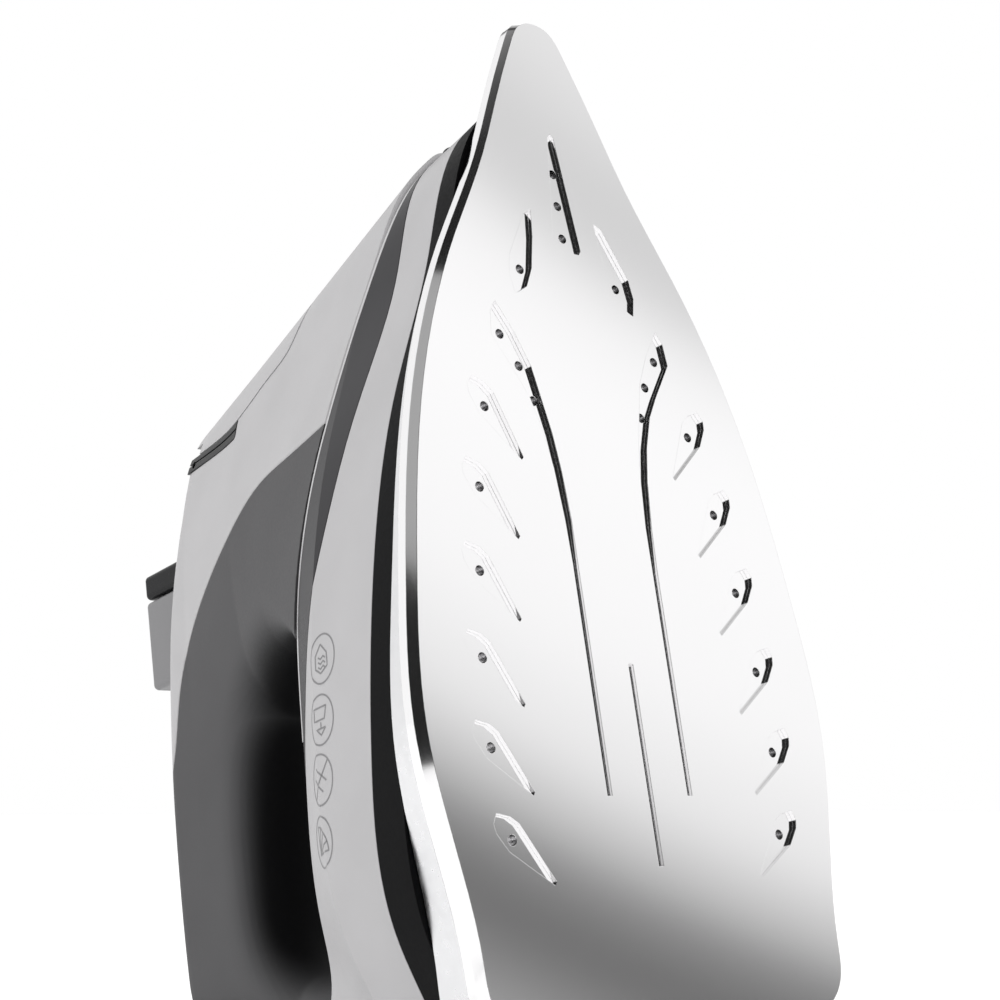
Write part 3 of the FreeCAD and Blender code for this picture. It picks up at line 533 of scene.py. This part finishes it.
def outside_gland(points):
    return outside_block(points, (0, 209), (9.4, 11.5), 150)


def clip(net, keep):
    """Cut a bmesh along the zero line of keep and drop the negative side."""
    net.verts.ensure_lookup_table()
    values = keep(np.array([vert.co for vert in net.verts]))
    value_of = {vert: value for vert, value in zip(net.verts, values)}
    seam = []
    for edge in list(net.edges):
        first, second = edge.verts
        a, b = value_of[first], value_of[second]
        if a * b < 0:
            _, vert = bmesh.utils.edge_split(edge, first, a / (a - b))
            value_of[vert] = 0.0
            seam.append(vert)
    bmesh.ops.connect_verts(net, verts=seam)
    centres = np.array([face.calc_center_median() for face in net.faces])
    values = keep(centres)
    gone = [face for face, value in zip(net.faces, values) if value < 0]
    bmesh.ops.delete(net, geom=gone, context="FACES")


def casing_piece(name, points, quads, keeps, slot_name, *nodes):
    mesh = bpy.data.meshes.new(name)
    mesh.from_pydata(points.tolist(), [], quads.tolist())
    net = bmesh.new()
    net.from_mesh(mesh)
    for keep in keeps:
        clip(net, keep)
    for vert, place in zip(net.verts, stand([vert.co for vert in net.verts])):
        vert.co = place
    net.to_mesh(mesh)
    net.free()
    mesh.shade_smooth()
    piece = bpy.data.objects.new(name, mesh)
    bpy.context.scene.collection.objects.link(piece)
    wall = piece.modifiers.new("wall", "SOLIDIFY")
    wall.thickness = 0.0020
    wall.offset = -1
    wall.use_rim = True
    finish_as(piece, slot_name)
    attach(piece, "root")
    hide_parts(*nodes)
    return piece


# ------------------------------------------------------------ printed marks

MARK_RADIUS = 5.5
MARK_WIDTH = 0.42
MARK_PLACES = ((149.8, 40.7), (163.1, 42.2), (175.9, 44.2), (188.9, 46.7))


def arc(centre, radius, start, end, steps=24):
    angles = np.radians(np.linspace(start, end, steps))
    return [(centre[0] + radius * math.cos(t), centre[1] + radius * math.sin(t)) for t in angles]


def mark_strokes():
    """Generic care signs in a unit ring: first coordinate along the iron, second upwards."""
    ring = arc((0, 0), 1.0, 0, 360, 49)
    drop = [(-0.62, 0.1), (-0.2, 0.52), (0.35, 0.5), (0.58, 0.1), (0.35, -0.42), (-0.2, -0.36), (-0.62, 0.1)]
    waves = [[(0.1 * k - 0.1, 0.3), (0.1 * k, 0.1), (0.1 * k - 0.1, -0.1), (0.1 * k, -0.25)] for k in (0, 2, 4)]
    iron = [(-0.5, -0.45), (-0.5, 0.5), (0.0, 0.5), (0.0, -0.3), (-0.5, -0.45)]
    jet = [[(0.1, 0.0), (0.35, 0.0)], [(0.35, -0.35), (0.35, 0.35), (0.62, 0.0), (0.35, -0.35)]]
    crossed = [[(-0.68, -0.68), (0.68, 0.68)], [(-0.5, 0.35), (0.1, -0.5)], [(-0.1, 0.6), (0.5, -0.2)]]
    fan = [[(0.45, 0.45), (0.45 + 1.1 * math.cos(t), 0.45 + 1.1 * math.sin(t))]
           for t in np.radians((182, 204, 226, 248, 268))]
    fan.append(arc((0.45, 0.45), 1.1, 180, 270, 14))
    return (
        [ring, drop, *waves],
        [ring, iron, *jet],
        [ring, *crossed],
        [ring, *fan],
    )


def print_marks():
    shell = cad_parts["lower_shell"]
    verts = lie_down([vert.co for vert in shell.data.vertices])
    faces = [tuple(face.vertices) for face in shell.data.polygons]
    tree = BVHTree.FromPolygons([Vector(vert) for vert in verts], faces)
    points, quads = [], []
    for (back, up), strokes in zip(MARK_PLACES, mark_strokes()):
        for stroke in strokes:
            line = np.array(stroke) * MARK_RADIUS
            dense = [line[0]]
            for start, end in zip(line, line[1:]):
                parts = max(1, int(np.linalg.norm(end - start) / 0.7))
                dense.extend(start + (end - start) * n / parts for n in range(1, parts + 1))
            line = np.array(dense)
            run = np.gradient(line, axis=0)
            run /= np.maximum(np.linalg.norm(run, axis=1), 1e-6)[:, None]
            side = np.stack([-run[:, 1], run[:, 0]], 1) * MARK_WIDTH / 2
            first = len(points)
            for spot, offset in zip(line, side):
                for way in (-1, 1):
                    v, h = spot + offset * way
                    hit = tree.ray_cast(Vector((-90, back + v, up + h)), Vector((1, 0, 0)))[0]
                    points.append((hit.x - 0.05, hit.y, hit.z))
            for n in range(len(line) - 1):
                a = first + 2 * n
                quads.append((a, a + 1, a + 3, a + 2))
    mesh = bpy.data.meshes.new("printed_marks")
    mesh.from_pydata(stand(points).tolist(), [], quads)
    marks = bpy.data.objects.new("printed_marks", mesh)
    bpy.context.scene.collection.objects.link(marks)
    finish_as(marks, "button_grey")
    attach(marks, "root")


# ------------------------------------------------------------ studio


def build_world():
    world = bpy.data.worlds.new("studio")
    bpy.context.scene.world = world
    world.use_nodes = True
    tree = world.node_tree
    tree.nodes.clear()
    place = tree.nodes.new("ShaderNodeTexCoord")
    split = tree.nodes.new("ShaderNodeSeparateXYZ")
    tree.links.new(place.outputs["Generated"], split.inputs["Vector"])
    slant = tree.nodes.new("ShaderNodeMath")
    slant.operation = "ADD"
    tree.links.new(split.outputs["X"], slant.inputs[0])
    tree.links.new(split.outputs["Z"], slant.inputs[1])
    span = tree.nodes.new("ShaderNodeMapRange")
    span.inputs["From Min"].default_value = -1.5
    span.inputs["From Max"].default_value = 1.5
    tree.links.new(slant.outputs[0], span.inputs["Value"])
    ramp = tree.nodes.new("ShaderNodeValToRGB")
    ramp.color_ramp.interpolation = "EASE"
    stops = (
        (0.0, 1.0), (0.76, 0.9), (0.783, 0.28), (0.798, 0.12), (0.808, 0.22), (0.816, 0.58), (0.827, 0.86),
        (0.847, 0.97), (0.873, 1.0), (0.884, 0.97), (0.892, 0.62), (0.897, 0.62), (0.906, 0.80), (0.95, 1.0),
    )
    while len(ramp.color_ramp.elements) < len(stops):
        ramp.color_ramp.elements.new(0.5)
    for element, (position, value) in zip(ramp.color_ramp.elements, stops):
        element.position = position
        element.color = (value, value, value, 1)
    tree.links.new(span.outputs["Result"], ramp.inputs["Fac"])
    seen = tree.nodes.new("ShaderNodeBackground")
    seen.inputs["Color"].default_value = (1, 1, 1, 1)
    shades = []
    for axis, low, high in (("Y", 0.50, 0.68), ("X", 0.2, 0.45)):
        shade = tree.nodes.new("ShaderNodeMapRange")
        shade.interpolation_type = "SMOOTHSTEP"
        shade.inputs["From Min"].default_value = low
        shade.inputs["From Max"].default_value = high
        shade.inputs["To Min"].default_value = 0.015
        shade.inputs["To Max"].default_value = 1.05
        tree.links.new(split.outputs[axis], shade.inputs["Value"])
        shades.append(shade.outputs["Result"])
    open_sky = tree.nodes.new("ShaderNodeMath")
    open_sky.operation = "MAXIMUM"
    tree.links.new(shades[0], open_sky.inputs[0])
    tree.links.new(shades[1], open_sky.inputs[1])
    mirrored = tree.nodes.new("ShaderNodeBackground")
    tree.links.new(ramp.outputs["Color"], mirrored.inputs["Color"])
    tree.links.new(open_sky.outputs[0], mirrored.inputs["Strength"])
    lit = tree.nodes.new("ShaderNodeBackground")
    lit.inputs["Color"].default_value = (1, 1, 1, 1)
    lit.inputs["Strength"].default_value = 0.95
    rays = tree.nodes.new("ShaderNodeLightPath")
    glossy = tree.nodes.new("ShaderNodeMixShader")
    tree.links.new(rays.outputs["Is Glossy Ray"], glossy.inputs["Fac"])
    tree.links.new(lit.outputs[0], glossy.inputs[1])
    tree.links.new(mirrored.outputs[0], glossy.inputs[2])
    mix = tree.nodes.new("ShaderNodeMixShader")
    tree.links.new(rays.outputs["Is Camera Ray"], mix.inputs["Fac"])
    tree.links.new(glossy.outputs[0], mix.inputs[1])
    tree.links.new(seen.outputs[0], mix.inputs[2])
    output = tree.nodes.new("ShaderNodeOutputWorld")
    tree.links.new(mix.outputs[0], output.inputs["Surface"])


def build_floor():
    mesh = bpy.data.meshes.new("studio_floor")
    half = 6.0
    mesh.from_pydata([(-half, -half, 0), (half, -half, 0), (half, half, 0), (-half, half, 0)], [], [(0, 1, 2, 3)])
    floor = bpy.data.objects.new("studio_floor", mesh)
    bpy.context.scene.collection.objects.link(floor)
    material, _, shader, _ = new_material("studio_floor")
    shader.inputs["Base Color"].default_value = (0.93, 0.93, 0.93, 1)
    shader.inputs["Roughness"].default_value = 0.7
    shader.inputs["Emission Color"].default_value = (1, 1, 1, 1)
    shader.inputs["Emission Strength"].default_value = 0.25
    mesh.materials.append(material)


def area_light(name, place, target, size, power):
    data = bpy.data.lights.new(name, "AREA")
    data.shape = "DISK"
    data.size = size
    data.energy = power
    light = bpy.data.objects.new(name, data)
    bpy.context.scene.collection.objects.link(light)
    light.location = place
    light.rotation_euler = (Vector(target) - Vector(place)).to_track_quat("-Z", "Y").to_euler()


def place_camera():
    """Camera in the leaning frame of the iron, then stood up with it."""
    place = (-313.41, -313.66, -251.63)
    right = (0.76323, -0.63290, -0.13008)
    up = (-0.09039, -0.30392, 0.94840)
    forward = (0.63978, 0.71209, 0.28917)

    def turned(vector):
        x, y, z = vector
        return Vector((x, y * math.cos(LEAN) + z * math.sin(LEAN), z * math.cos(LEAN) - y * math.sin(LEAN)))

    data = bpy.data.cameras.new("camera")
    data.lens = 73.92
    data.sensor_width = 36
    data.clip_end = 50
    camera = bpy.data.objects.new("camera", data)
    bpy.context.scene.collection.objects.link(camera)
    axes = Matrix((turned(right), turned(up), -turned(forward))).transposed()
    camera.matrix_world = Matrix.Translation((turned(place) + Vector((0, SHIFT_Y, SHIFT_Z))) / 1000) @ axes.to_4x4()
    bpy.context.scene.camera = camera


# ------------------------------------------------------------ build

dress_nodes()
points, quads = casing_surface()
body_cuts = (above_deck, before_heel)
casing_piece(
    "housing_skin", points, quads,
    (*body_cuts, before_grip_line, outside_door, outside_buttons, outside_selector),
    "shell_grey", "upper_housing",
)
casing_piece(
    "grip_skin", points, quads,
    (*body_cuts, behind_grip_line, outside_buttons, outside_gland),
    "grip_dark", "grip_cover",
)
print_marks()
build_world()
build_floor()
area_light("key", (-1.5, 0.9, 1.3), (0, 0, 0.12), 1.6, 2.4)
area_light("fill", (1.4, 1.0, 1.2), (0, 0, 0.12), 1.6, 2.0)
place_camera()
bpy.context.scene.view_settings.view_transform = "Standard"
